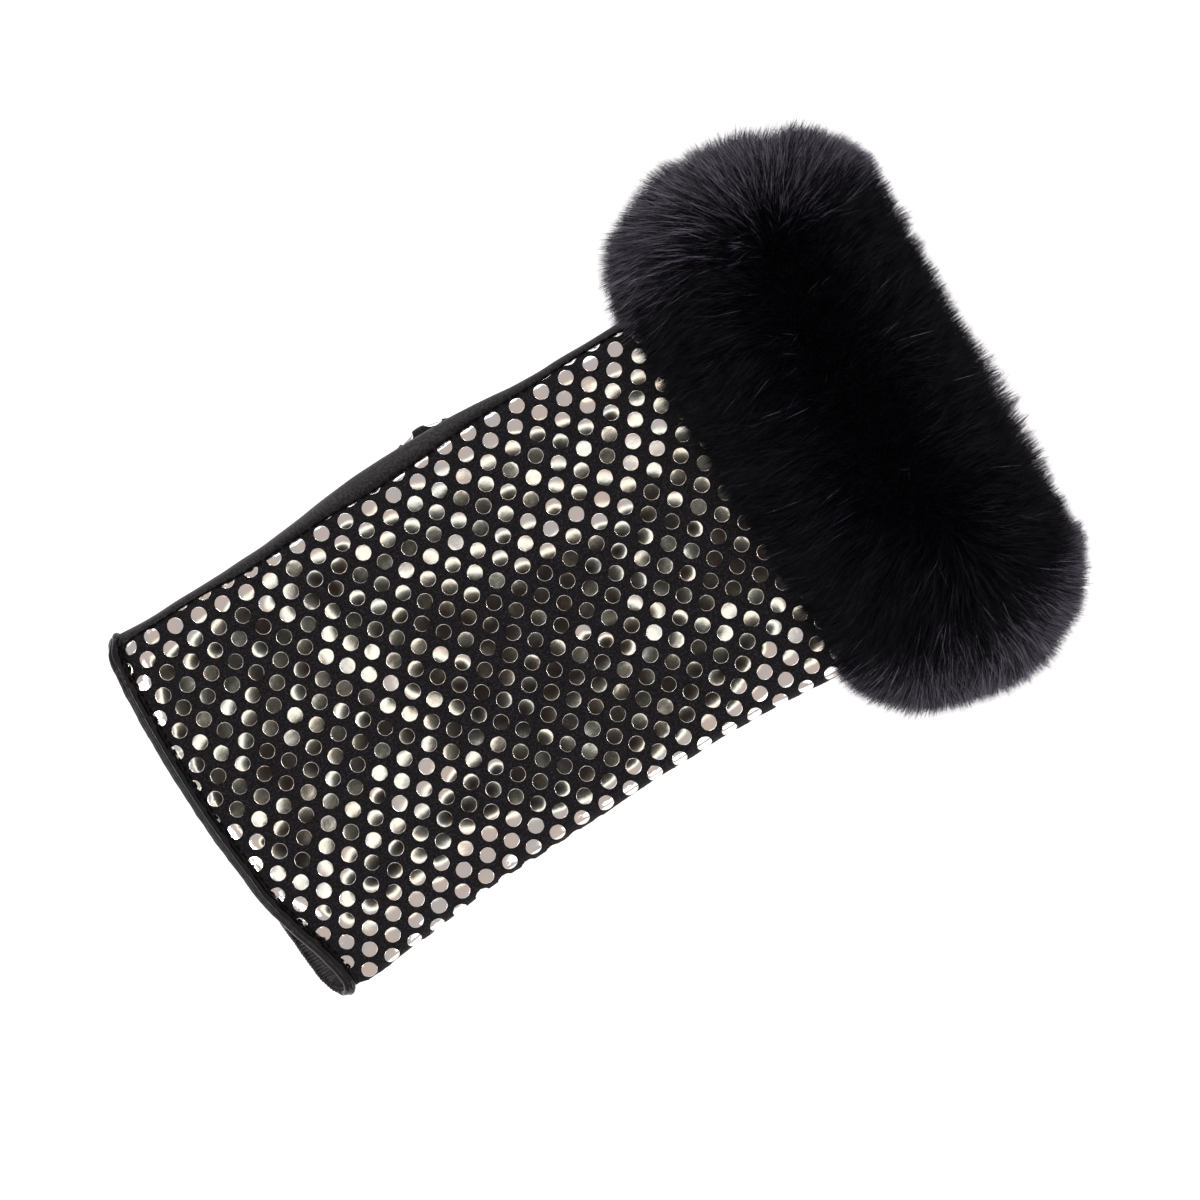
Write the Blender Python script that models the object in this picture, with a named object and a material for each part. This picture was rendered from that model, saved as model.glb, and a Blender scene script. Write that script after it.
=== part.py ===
"""Fur-cuff fingerless glove for the left hand, lying flat with its dotted back up.

Metres, +Z up. +X runs from the finger opening to the wrist and +Y to the thumb side. The origin is on the
surface that the glove lies on, under the middle of its outline.
"""

import math
import random

import bmesh
import bpy

# Body of the glove
hand_width = 0.100
body_length = 0.1986
body_thickness = 0.0142
wrist_lift = 0.011
suede_wall = 0.0018
leather_wall = 0.0016
fold_roundness = 2.8
hem_depth = 0.0083
thumb_strip = 0.0055
pinky_wrap = 0.009
seam_gap = 0.0003

# Rolled binding round the finger opening
binding_width = 0.0027
binding_thickness = 0.0030
binding_gap = 0.0005

# Thumb stall, folded flat under the palm
stall_width = 0.036
stall_reach = 0.034
stall_base = 0.016
stall_height = 0.0068
stall_wall = 0.0010
stall_lean = math.radians(20)
stall_roundness = 4.0
stall_floor_gap = 0.0002
thumb_hole_length = 0.022
thumb_hole_width = 0.018

# Fur cuff
fur_length = 0.0722
fur_overhang = 0.0176
side_pile = 0.0256
top_pile = 0.0225
lock_length = 0.0062
lock_lift = 0.0006
fur_clearance = 0.0004
locks_round = 48
locks_along = 10
lock_seed = 11

# How finely the sheets are divided
body_rows = 17
bead_sides = 8
stall_sides = 28

body_middle = 0.0008
hem_x = body_middle - (binding_width + body_length + fur_overhang) / 2 + binding_width
wrist_x = hem_x + body_length
hem_lift = (binding_thickness - leather_wall) / 2

# Share of the body's length, then the thumb-side and little-finger-side edges as shares of half the hand's
# width, the thickness, the underside's height, and the leather strip that shows along the thumb side.
BODY = (
    ("along", "thumb", "pinky", "thickness", "lift", "strip"),
    (0.000, 0.982, 1.056, 0.80, 0.00, 0.47),
    (0.053, 0.966, 1.060, 0.82, 0.10, 0.44),
    (0.114, 0.964, 1.036, 0.86, 0.22, 0.45),
    (0.184, 0.964, 1.012, 0.90, 0.36, 0.58),
    (0.245, 0.975, 0.990, 0.94, 0.48, 0.64),
    (0.305, 0.998, 0.988, 0.97, 0.59, 0.75),
    (0.366, 1.020, 0.983, 1.00, 0.66, 1.00),
    (0.461, 1.022, 0.974, 1.00, 0.73, 0.87),
    (0.517, 1.012, 0.972, 1.00, 0.76, 0.65),
    (0.577, 0.985, 0.966, 1.00, 0.79, 0.42),
    (0.658, 0.976, 0.985, 1.00, 0.84, 0.29),
    (0.728, 0.970, 1.010, 1.00, 0.88, 0.31),
    (1.000, 0.970, 1.010, 1.00, 1.00, 0.31),
)

# How far the finger hem is cut back, by the turn round the opening in degrees: 0 is the thumb-side fold,
# 90 the middle of the back, 180 the little-finger fold and 270 the middle of the palm.
HEM = (
    ("turn", "cut_back"),
    (0, 0.54),
    (10, 0.46),
    (20, 0.25),
    (35, 0.14),
    (60, 0.02),
    (80, 0.00),
    (95, 0.06),
    (107, 0.17),
    (116, 0.25),
    (128, 0.52),
    (144, 0.86),
    (162, 1.00),
    (180, 0.84),
    (197, 0.55),
    (212, 0.40),
    (235, 0.31),
    (253, 0.17),
    (275, 0.05),
    (300, 0.02),
    (325, 0.14),
    (345, 0.34),
    (360, 0.54),
)

# Place of the thumb hole's middle: share of the body's length, and share of half the hand's width.
THUMB_AT = (0.461, 0.70)


def read_table(table, column, key):
    """Smooth value of a table's column at key, by a cubic through its rows."""
    place = table[0].index(column)
    rows = table[1:]
    key = min(max(key, rows[0][0]), rows[-1][0])
    low = max(i for i in range(len(rows) - 1) if rows[i][0] <= key)

    def slope(i):
        before, after = rows[max(i - 1, 0)], rows[min(i + 1, len(rows) - 1)]
        return (after[place] - before[place]) / (after[0] - before[0])

    step = rows[low + 1][0] - rows[low][0]
    t = (key - rows[low][0]) / step
    start, end = rows[low][place], rows[low + 1][place]
    return (
        (2 * t**3 - 3 * t**2 + 1) * start
        + (t**3 - 2 * t**2 + t) * step * slope(low)
        + (3 * t**2 - 2 * t**3) * end
        + (t**3 - t**2) * step * slope(low + 1)
    )


def fade(value, start, end):
    """0 up to start and 1 from end on, with a smooth rise between them."""
    t = min(max((value - start) / (end - start), 0.0), 1.0)
    return t * t * (3 - 2 * t)


def body_value(x, column):
    return read_table(BODY, column, (x - hem_x) / body_length)


def body_lift(x):
    return hem_lift + (wrist_lift - hem_lift) * body_value(x, "lift")


def hem_at(turn):
    """X of the panels' finger edge at a turn round the opening."""
    return hem_x + hem_depth * read_table(HEM, "cut_back", math.degrees(turn) % 360)


def stall_coordinates(x, y):
    """Distance from the thumb hole along the folded stall, and across it to the thumb side."""
    dx = hem_x + THUMB_AT[0] * body_length - x
    dy = y - THUMB_AT[1] * hand_width / 2
    along = dx * math.cos(stall_lean) - dy * math.sin(stall_lean)
    across = dx * math.sin(stall_lean) + dy * math.cos(stall_lean)
    return along, across


def stall_place(along, across):
    """X and Y of a point given along and across the folded stall."""
    dx = along * math.cos(stall_lean) + across * math.sin(stall_lean)
    dy = across * math.cos(stall_lean) - along * math.sin(stall_lean)
    return hem_x + THUMB_AT[0] * body_length - dx, THUMB_AT[1] * hand_width / 2 + dy


def stall_raise(x, y):
    """How far the folded stall lifts the glove above it at X, Y."""
    along, across = stall_coordinates(x, y)
    reach = fade(along, -1.9 * stall_base, -0.9 * stall_base)
    reach *= 1 - fade(along, 1.05 * stall_reach, 1.05 * stall_reach + stall_width / 2)
    side = 1 - fade(-across, 0.5 * stall_width, 1.3 * stall_width)
    needed = stall_floor_gap + stall_height + seam_gap - body_lift(x)
    return max(needed, 0.0) * reach * side


def roundness(turn, power):
    """Height of a flattened ring at a turn, as a share of its half thickness."""
    across = abs(math.cos(turn))
    height = max(1 - across**power, 0.0) ** (1 / power)
    return math.copysign(height, math.sin(turn))


def body_point(x, turn, inset):
    """Point of the flattened sleeve, inset from its outer face, at a turn round it."""
    thumb, pinky = (body_value(x, side) * hand_width / 2 for side in ("thumb", "pinky"))
    half_thick = body_value(x, "thickness") * body_thickness / 2
    y = (thumb - pinky) / 2 + ((thumb + pinky) / 2 - inset) * math.cos(turn)
    z = body_lift(x) + half_thick + (half_thick - inset) * roundness(turn, fold_roundness)
    return x, y, z + stall_raise(x, y)


def palm_underside(x, y):
    """Height of the palm's outer face at X, Y."""
    thumb, pinky = (body_value(x, side) * hand_width / 2 for side in ("thumb", "pinky"))
    across = (2 * y - thumb + pinky) / (thumb + pinky)
    return body_point(x, -math.acos(min(max(across, -0.9), 0.9)), 0)[2]


def turn_from_edge(x, distance):
    """Turn of the point on the back that lies this far in from the thumb-side edge, seen from above."""
    half_width = (body_value(x, "thumb") + body_value(x, "pinky")) * hand_width / 4
    return math.acos(1 - distance / half_width)


def outward(x, turn):
    """Unit vector in the YZ plane that points away from the sleeve."""
    step = 0.002
    _, y0, z0 = body_point(x, turn - step, 0)
    _, y1, z1 = body_point(x, turn + step, 0)
    size = math.hypot(y1 - y0, z1 - z0)
    return (z1 - z0) / size, (y0 - y1) / size


def grown_point(x, turn, distance):
    """Point at a distance outside the sleeve, straight away from it."""
    _, y, z = body_point(x, turn, 0)
    out_y, out_z = outward(wrist_x, turn)
    return x, y + distance * out_y, z + distance * out_z


def even_turns(count, spread):
    """Turns that are evenly spaced on a curve this far outside the sleeve's wrist, from the thumb fold."""
    fine = 1200
    turns = [2 * math.pi * i / fine for i in range(fine + 1)]
    points = [grown_point(wrist_x, turn, spread) for turn in turns]
    travelled = [0.0]
    for before, after in zip(points, points[1:]):
        travelled.append(travelled[-1] + math.dist(before, after))
    chosen = []
    for i in range(count):
        wanted = travelled[-1] * i / count
        chosen.append(turns[max(j for j in range(fine) if travelled[j] <= wanted)])
    return chosen


def finish(name, mesh_data, colour, rough):
    """Object from a bmesh, facing out, with its own material."""
    bmesh.ops.recalc_face_normals(mesh_data, faces=mesh_data.faces)
    mesh = bpy.data.meshes.new(name)
    mesh_data.to_mesh(mesh)
    mesh_data.free()
    mesh.shade_smooth()
    mesh.set_sharp_from_angle(angle=math.radians(50))
    material = bpy.data.materials.new(name)
    material.use_nodes = True
    shader = material.node_tree.nodes["Principled BSDF"]
    shader.inputs["Base Color"].default_value = (*colour, 1)
    shader.inputs["Roughness"].default_value = rough
    shader.inputs["Metallic"].default_value = 0.0
    mesh.materials.append(material)
    item = bpy.data.objects.new(name, mesh)
    bpy.context.scene.collection.objects.link(item)
    return item


def add_strip(mesh_data, low, high, closed):
    """Faces between two rows of vertices."""
    count = len(low) if closed else len(low) - 1
    for i in range(count):
        j = (i + 1) % len(low)
        mesh_data.faces.new((low[i], low[j], high[j], high[i]))


def make_sheet(name, outer, inner, colour, rough):
    """Sheet with walls, between an outer and an inner grid of points."""
    mesh_data = bmesh.new()
    skins = [[[mesh_data.verts.new(p) for p in row] for row in grid] for grid in (outer, inner)]
    for grid in skins:
        for low, high in zip(grid, grid[1:]):
            add_strip(mesh_data, low, high, False)
    face, back = skins
    for end in (0, -1):
        add_strip(mesh_data, face[end], back[end], False)
        add_strip(mesh_data, [row[end] for row in face], [row[end] for row in back], False)
    return finish(name, mesh_data, colour, rough)


def panel_grid(turns_at, inset):
    """Grid of points on the sleeve from the finger hem to the wrist, by a function that gives its turns."""
    grid = []
    for i in range(body_rows + 1):
        share = i / body_rows
        row = []
        for column in range(len(turns_at(wrist_x))):
            turn = turns_at(hem_x)[column]
            for _ in range(2):
                start = hem_at(turn)
                x = start + share * (wrist_x - start)
                turn = turns_at(x)[column]
            row.append(body_point(x, turn, inset))
        grid.append(row)
    return grid


def pinky_seam(x, distance):
    """Turn of a point on the underside, this far in from the little-finger edge."""
    return math.pi + turn_from_edge(x, distance)


def back_turns(x):
    """Columns of the dotted back, from the thumb-side seam over the little-finger fold to its seam."""
    start = turn_from_edge(x, thumb_strip * body_value(x, "strip") + seam_gap / 2)
    end = pinky_seam(x, pinky_wrap - seam_gap / 2)
    return [start] + [t for t in sheet_turns if 0.55 < t < math.pi + 0.52] + [end]


def palm_turns(x):
    """Columns of the leather palm, from the thumb-side seam on the back round the fold and across below."""
    seam = turn_from_edge(x, thumb_strip * body_value(x, "strip") - seam_gap / 2)
    end = pinky_seam(x, pinky_wrap + seam_gap / 2) - 2 * math.pi
    below = [t - 2 * math.pi for t in reversed(sheet_turns) if t > math.pi + 0.70]
    return [seam, 0.66 * seam, 0.33 * seam, 0.0] + below + [end]


def make_back_panel():
    outer, inner = panel_grid(back_turns, 0.0), panel_grid(back_turns, suede_wall)
    return make_sheet("back_panel", outer, inner, (0.15, 0.14, 0.13), 0.6)


def make_palm_panel():
    outer, inner = panel_grid(palm_turns, 0.0), panel_grid(palm_turns, leather_wall)
    panel = make_sheet("palm_panel", outer, inner, (0.035, 0.035, 0.037), 0.45)
    cut_thumb_hole(panel)
    return panel


def make_finger_binding():
    """Rolled bead that follows the finger hem all the way round."""
    mesh_data = bmesh.new()
    inset = leather_wall / 2
    rings = []
    for turn in sheet_turns:
        middle_x = hem_at(turn) - binding_gap - binding_width / 2
        _, y, z = body_point(max(middle_x, hem_x), turn, inset)
        out_y, out_z = outward(hem_x, turn)
        ring = []
        for side in range(bead_sides):
            angle = 2 * math.pi * (side + 0.5) / bead_sides
            thick = binding_thickness / 2 * math.sin(angle) / math.cos(math.pi / bead_sides)
            wide = binding_width / 2 * math.cos(angle) / math.cos(math.pi / bead_sides)
            point = (middle_x + wide, y + thick * out_y, z + thick * out_z)
            ring.append(mesh_data.verts.new(point))
        rings.append(ring)
    for low, high in zip(rings, rings[1:] + rings[:1]):
        add_strip(mesh_data, low, high, True)
    return finish("finger_binding", mesh_data, (0.03, 0.03, 0.032), 0.35)


def stall_ring(along, inset):
    """Ring of points round the flattened stall at a distance along it, with its top just under the palm."""
    base = min(along, 0.0) / (stall_base - inset)
    half_width = (stall_width / 2 - inset) * math.sqrt(1 - base**2)
    points = []
    for side in range(stall_sides):
        turn = 2 * math.pi * side / stall_sides
        x, y = stall_place(along, half_width * math.cos(turn))
        room = palm_underside(x, y) - seam_gap - stall_floor_gap
        rise = (1 - base**4) ** 0.25 * roundness(turn, stall_roundness)
        points.append((x, y, stall_floor_gap + room / 2 + (room / 2 - inset) * rise))
    return points


def stall_rings(inset):
    """Rings of the stall from its closed base to its mouth."""
    base = stall_base - inset
    places = [-base * math.cos(math.radians(a)) for a in (12, 32, 52, 72)]
    places += [stall_reach * i / 5 for i in range(6)]
    return [stall_ring(along, inset) for along in places]


def make_thumb_stall():
    """Short flat tube, closed at its base, with its mouth to the fingers and a hole into the palm."""
    mesh_data = bmesh.new()
    skins = []
    for inset in (0.0, stall_wall):
        rings = [[mesh_data.verts.new(p) for p in ring] for ring in stall_rings(inset)]
        for low, high in zip(rings, rings[1:]):
            add_strip(mesh_data, low, high, True)
        mesh_data.faces.new(rings[0])
        skins.append(rings)
    add_strip(mesh_data, skins[0][-1], skins[1][-1], True)
    stall = finish("thumb_stall", mesh_data, (0.15, 0.14, 0.13), 0.6)
    cut_thumb_hole(stall)
    return stall


def thumb_hole_cutter():
    """Oval post through the palm and the stall's upper wall."""
    if "thumb_hole_cutter" in bpy.data.objects:
        return bpy.data.objects["thumb_hole_cutter"]
    mesh_data = bmesh.new()
    top = palm_underside(*stall_place(0, 0))
    heights = (top / 2, top + body_thickness / 3)
    loops = []
    for z in heights:
        loop = []
        for i in range(24):
            turn = 2 * math.pi * (i + 0.5) / 24
            along = thumb_hole_length / 2 * math.cos(turn)
            across = thumb_hole_width / 2 * math.sin(turn)
            loop.append(mesh_data.verts.new((*stall_place(along, across), z)))
        mesh_data.faces.new(loop)
        loops.append(loop)
    add_strip(mesh_data, loops[0], loops[1], True)
    cutter = finish("thumb_hole_cutter", mesh_data, (0.5, 0.5, 0.5), 0.5)
    cutter.hide_render = True
    cutter.display_type = "WIRE"
    return cutter


def cut_thumb_hole(item):
    cut = item.modifiers.new("thumb_hole", "BOOLEAN")
    cut.operation = "DIFFERENCE"
    cut.solver = "EXACT"
    cut.object = thumb_hole_cutter()


def fur_point(turn, around, shrink):
    """Point of the fur's dome: around runs from 0 at the hand side over the pile to pi at the wrist side."""
    pile = side_pile * math.cos(turn) ** 2 + top_pile * math.sin(turn) ** 2
    middle = wrist_x + fur_overhang - fur_length / 2
    x = middle - (fur_length / 2 - shrink) * math.cos(around)
    _, y, z = grown_point(x, turn, fur_clearance + (pile - shrink) * math.sin(around))
    return x, y, max(z, 0.0)


def add_lock(mesh_data, corners, tip):
    """Pointed lock that stands on a four-cornered cell of the fur."""
    middle = [sum(corner.co[i] for corner in corners) / 4 for i in range(3)]
    waist = []
    for corner in corners:
        point = [0.34 * middle[i] + 0.66 * corner.co[i] + 0.42 * (tip[i] - middle[i]) for i in range(3)]
        point[2] = max(point[2], lock_lift)
        waist.append(mesh_data.verts.new(point))
    top = mesh_data.verts.new(tip)
    for i in range(4):
        j = (i + 1) % 4
        mesh_data.faces.new((corners[i], corners[j], waist[j], waist[i]))
        mesh_data.faces.new((waist[i], waist[j], top))


def make_fur_cuff():
    """Ring of deep fur round the sleeve: an inner wall, and a dome that stands in pointed locks."""
    mesh_data = bmesh.new()
    chance = random.Random(lock_seed)
    turns = even_turns(locks_round, side_pile / 2)
    inner_steps = 5
    rings = []
    for turn in turns:
        dome = [fur_point(turn, math.pi * j / locks_along, lock_length) for j in range(locks_along + 1)]
        start, end = dome[0][0], dome[-1][0]
        inner = []
        for j in range(1, inner_steps):
            x = end + (start - end) * j / inner_steps
            inner.append(grown_point(x, turn, fur_clearance))
        rings.append([mesh_data.verts.new(p) for p in dome + inner])
    size = len(rings[0])
    for k, ring in enumerate(rings):
        after = rings[(k + 1) % locks_round]
        next_turn = turns[(k + 1) % locks_round] + (2 * math.pi if k == locks_round - 1 else 0)
        for j in range(size):
            corners = (ring[j], ring[(j + 1) % size], after[(j + 1) % size], after[j])
            height = sum(corner.co.z for corner in corners) / 4
            stands = fade(height, lock_lift, 3 * lock_lift) * fade(min(c.co.z for c in corners), 0, lock_lift)
            if j >= locks_along or stands == 0:
                mesh_data.faces.new(corners)
                continue
            turn = (turns[k] + next_turn) / 2 + (next_turn - turns[k]) * chance.uniform(-0.2, 0.2)
            around = math.pi * (j + 0.5 + chance.uniform(-0.2, 0.2)) / locks_along
            tip = list(fur_point(turn, around, lock_length * chance.uniform(0.0, 0.25)))
            middle = [sum(corner.co[i] for corner in corners) / 4 for i in range(3)]
            tip = [middle[i] + stands * (tip[i] - middle[i]) for i in range(3)]
            tip[2] = max(tip[2], 1.5 * lock_lift)
            add_lock(mesh_data, corners, tip)
    return finish("fur_cuff", mesh_data, (0.012, 0.012, 0.015), 0.7)


for item in list(bpy.data.objects):
    bpy.data.objects.remove(item, do_unlink=True)

sheet_turns = even_turns(locks_round, side_pile / 2)
make_back_panel()
make_palm_panel()
make_finger_binding()
make_thumb_stall()
make_fur_cuff()
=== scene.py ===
"""Looks of the fur-cuff fingerless glove, made in the frame of its solids.

Metres, +Z up. +X runs from the finger opening to the wrist and +Y to the thumb side.
"""

import math

import bpy
import numpy as np
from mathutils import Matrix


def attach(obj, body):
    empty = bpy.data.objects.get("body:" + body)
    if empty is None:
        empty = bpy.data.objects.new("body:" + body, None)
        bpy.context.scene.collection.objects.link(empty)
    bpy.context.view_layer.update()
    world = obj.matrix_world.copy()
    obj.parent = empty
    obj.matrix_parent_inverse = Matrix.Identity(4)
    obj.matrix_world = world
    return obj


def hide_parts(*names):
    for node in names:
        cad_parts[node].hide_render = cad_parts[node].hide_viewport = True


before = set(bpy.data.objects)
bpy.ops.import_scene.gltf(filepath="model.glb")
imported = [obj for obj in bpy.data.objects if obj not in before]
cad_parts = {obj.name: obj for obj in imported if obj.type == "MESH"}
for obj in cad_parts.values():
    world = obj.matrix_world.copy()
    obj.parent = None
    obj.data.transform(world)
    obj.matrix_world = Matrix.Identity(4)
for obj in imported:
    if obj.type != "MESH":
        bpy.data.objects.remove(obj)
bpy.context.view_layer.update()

MM = 0.001

# Sizes of the glove, as its solids have them
hand_width = 0.100
body_length = 0.1986
body_thickness = 0.0142
wrist_lift = 0.011
suede_wall = 0.0018
leather_wall = 0.0016
fold_roundness = 2.8
hem_depth = 0.0083
thumb_strip = 0.0055
pinky_wrap = 0.009
seam_gap = 0.0003
binding_width = 0.0027
binding_thickness = 0.0030
binding_gap = 0.0005
hem_tuck = 0.0009
gather_step = 0.00085
stall_width = 0.036
stall_reach = 0.034
stall_base = 0.016
stall_height = 0.0068
stall_wall = 0.0010
stall_lean = math.radians(20)
stall_roundness = 4.0
stall_floor_gap = 0.0002
fur_length = 0.0722
fur_overhang = 0.0176
side_pile = 0.0256
top_pile = 0.0225
fur_clearance = 0.0004
body_middle = 0.0008
hem_x = body_middle - (binding_width + body_length + fur_overhang) / 2 + binding_width
wrist_x = hem_x + body_length
hem_lift = (binding_thickness - leather_wall) / 2

# Foil dots: their size, the two steps of their staggered grid, and the place of one of them
dot_radius = 0.0019
dot_height = 0.00007
DOT_STEP_A = (0.00333, 0.00417)
DOT_STEP_B = (0.00357, -0.00440)
DOT_START = (-0.0361, 0.0166)

# How the dots' grid bends over the hand: shifts in mm for powers of X / 100 mm and W / 50 mm
BEND_X = (
    (0, 0, 0.05),
    (0, 1, 0.36),
    (0, 2, -1.10),
    (1, 0, 2.45),
    (1, 1, -2.47),
    (1, 2, -5.94),
    (2, 0, 3.27),
)
BEND_W = (
    (0, 0, 0.21),
    (0, 1, -1.14),
    (0, 2, 0.56),
    (1, 0, -0.50),
    (2, 0, -2.79),
    (2, 1, 4.06),
    (3, 0, -3.23),
)

# Soft folds of the back: X, W, angle from X in degrees, half length, half width and height in mm
FOLDS = (
    (4, 6, 2, 24, 9.5, 2.1),
    (-3, -16, 8, 13, 5.5, 1.4),
    (-54, -30, 0, 14, 9.0, 2.8),
    (-84, -34, 0, 10, 9.0, 2.3),
    (-42, -2, -42, 14, 6.0, 1.6),
    (-78, 42, 0, 26, 9.0, 2.2),
    (-14, -44, 0, 26, 8.0, 1.8),
    (25, -33, 10, 9, 6.0, 1.7),
    (-34, 16, 0, 9, 8.0, 0.8),
    (-97, -12, 0, 5, 5.0, 0.9),
)

# Part line of the fur, where its hairs point straight up: X and Y along the cuff
PART_LINE = ((0.0810, 0.0440), (0.0782, 0.0044), (0.0760, -0.0260))

# Depth of the hairs' roots in the fur, and the fur's surface to a radian over its dome
hair_root = 8.5 * MM
dome_scale = 0.030

# X under the fur where the dots end, and where the seam's stitches end
dots_end = 0.062
stitches_end = 0.040

# The sleeve by the share of its length: its two half widths, thickness, lift off the surface and
# the leather strip on the back, each as a share of its full size
BODY = (
    ("along", "thumb", "pinky", "thickness", "lift", "strip"),
    (0.000, 0.982, 1.056, 0.80, 0.00, 0.47),
    (0.053, 0.966, 1.060, 0.82, 0.10, 0.44),
    (0.114, 0.964, 1.036, 0.86, 0.22, 0.45),
    (0.184, 0.964, 1.012, 0.90, 0.36, 0.58),
    (0.245, 0.975, 0.990, 0.94, 0.48, 0.64),
    (0.305, 0.998, 0.988, 0.97, 0.59, 0.75),
    (0.366, 1.020, 0.983, 1.00, 0.66, 1.00),
    (0.461, 1.022, 0.974, 1.00, 0.73, 0.87),
    (0.517, 1.012, 0.972, 1.00, 0.76, 0.65),
    (0.577, 0.985, 0.966, 1.00, 0.79, 0.42),
    (0.658, 0.976, 0.985, 1.00, 0.84, 0.29),
    (0.728, 0.970, 1.010, 1.00, 0.88, 0.31),
    (1.000, 0.970, 1.010, 1.00, 1.00, 0.31),
)
# How far the hem is cut back, by degrees round it from the thumb side over the back
HEM = (
    ("turn", "cut_back"),
    (0, 0.54),
    (10, 0.46),
    (20, 0.25),
    (35, 0.14),
    (60, 0.02),
    (80, 0.00),
    (95, 0.06),
    (107, 0.17),
    (116, 0.25),
    (128, 0.52),
    (144, 0.86),
    (162, 1.00),
    (180, 0.84),
    (197, 0.55),
    (212, 0.40),
    (235, 0.31),
    (253, 0.17),
    (275, 0.05),
    (300, 0.02),
    (325, 0.14),
    (345, 0.34),
    (360, 0.54),
)
# Middle of the thumb's base, as shares of the sleeve's length and half width
THUMB_AT = (0.461, 0.70)


# Shape of the glove


def read_table(table, column, key):
    """Smooth values of a table's column at an array of keys."""
    rows = np.array(table[1:], dtype=float)
    x, y = rows[:, 0], rows[:, table[0].index(column)]
    slope = np.empty_like(y)
    slope[1:-1] = (y[2:] - y[:-2]) / (x[2:] - x[:-2])
    slope[0] = (y[1] - y[0]) / (x[1] - x[0])
    slope[-1] = (y[-1] - y[-2]) / (x[-1] - x[-2])
    key = np.clip(key, x[0], x[-1])
    low = np.clip(np.searchsorted(x, key, side="right") - 1, 0, len(x) - 2)
    step = x[low + 1] - x[low]
    t = (key - x[low]) / step
    value = (2 * t**3 - 3 * t**2 + 1) * y[low] + (3 * t**2 - 2 * t**3) * y[low + 1]
    return value + (t**3 - 2 * t**2 + t) * step * slope[low] + (t**3 - t**2) * step * slope[low + 1]


def fade(value, start, end):
    """0 up to start and 1 from end on, with a smooth rise between them."""
    t = np.clip((value - start) / (end - start), 0.0, 1.0)
    return t * t * (3 - 2 * t)


def body_value(x, column):
    """A column of the sleeve's table at X."""
    return read_table(BODY, column, (x - hem_x) / body_length)


def body_lift(x):
    """Height of the sleeve's lowest line over the surface."""
    return hem_lift + (wrist_lift - hem_lift) * body_value(x, "lift")


def hem_at(turn):
    """X of the hem at a turn round the sleeve."""
    return hem_x + hem_depth * read_table(HEM, "cut_back", np.degrees(turn) % 360)


def stall_coordinates(x, y):
    """X, Y as distances along the thumb stall from its base and across it."""
    dx = hem_x + THUMB_AT[0] * body_length - x
    dy = y - THUMB_AT[1] * hand_width / 2
    along = dx * math.cos(stall_lean) - dy * math.sin(stall_lean)
    across = dx * math.sin(stall_lean) + dy * math.cos(stall_lean)
    return along, across


def stall_place(along, across):
    """The way back to X, Y."""
    dx = along * math.cos(stall_lean) + across * math.sin(stall_lean)
    dy = across * math.cos(stall_lean) - along * math.sin(stall_lean)
    return hem_x + THUMB_AT[0] * body_length - dx, THUMB_AT[1] * hand_width / 2 + dy


def stall_raise(x, y):
    """How far the stall below lifts the sleeve."""
    along, across = stall_coordinates(x, y)
    reach = fade(along, -1.9 * stall_base, -0.9 * stall_base)
    reach = reach * (1 - fade(along, 1.05 * stall_reach, 1.05 * stall_reach + stall_width / 2))
    side = 1 - fade(-across, 0.5 * stall_width, 1.3 * stall_width)
    needed = stall_floor_gap + stall_height + seam_gap - body_lift(x)
    return np.maximum(needed, 0.0) * reach * side


def roundness(turn, power):
    """Height of a flattened oval at a turn, from -1 to 1."""
    across = np.abs(np.cos(turn))
    return np.copysign(np.maximum(1 - across**power, 0.0) ** (1 / power), np.sin(turn))


def body_point(x, turn, inset):
    """Points of the flattened sleeve as an array, inset from its outer face."""
    x, turn = np.broadcast_arrays(np.asarray(x, float), np.asarray(turn, float))
    thumb, pinky = (body_value(x, side) * hand_width / 2 for side in ("thumb", "pinky"))
    half_thick = body_value(x, "thickness") * body_thickness / 2
    y = (thumb - pinky) / 2 + ((thumb + pinky) / 2 - inset) * np.cos(turn)
    z = body_lift(x) + half_thick + (half_thick - inset) * roundness(turn, fold_roundness)
    return np.stack((x, y, z + stall_raise(x, y)), axis=-1)


def palm_underside(x, y):
    """Height of the palm's lower face."""
    thumb, pinky = (body_value(x, side) * hand_width / 2 for side in ("thumb", "pinky"))
    across = np.clip((2 * y - thumb + pinky) / (thumb + pinky), -0.9, 0.9)
    return body_point(x, -np.arccos(across), 0)[..., 2]


def turn_from_edge(x, distance):
    """Turn of the point this far across from the side fold."""
    half_width = (body_value(x, "thumb") + body_value(x, "pinky")) * hand_width / 4
    return np.arccos(1 - distance / half_width)


def outward(x, turn):
    """Unit vectors across the sleeve that point away from it."""
    step = 0.002
    change = body_point(x, turn + step, 0) - body_point(x, turn - step, 0)
    size = np.hypot(change[..., 1], change[..., 2])
    return np.stack((np.zeros_like(size), change[..., 2] / size, -change[..., 1] / size), axis=-1)


def grown_point(x, turn, distance):
    """Points at a distance outside the sleeve."""
    x, turn, distance = np.broadcast_arrays(x, turn, distance)
    return body_point(x, turn, 0) + outward(np.full(turn.shape, wrist_x), turn) * distance[..., None]


def fur_point(turn, around, shrink):
    """Points of the fur's dome: around runs from 0 at the hand side to pi at the wrist side."""
    pile = side_pile * np.cos(turn) ** 2 + top_pile * np.sin(turn) ** 2
    middle = wrist_x + fur_overhang - fur_length / 2
    x = middle - (fur_length / 2 - shrink) * np.cos(around)
    return grown_point(x, turn, fur_clearance + (pile - shrink) * np.sin(around))


# Small variations and lengths


def arc_lengths(points):
    """Distance of each point from the first one, along their line."""
    steps = np.linalg.norm(np.diff(points, axis=0), axis=1)
    return np.concatenate(([0.0], np.cumsum(steps)))


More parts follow.
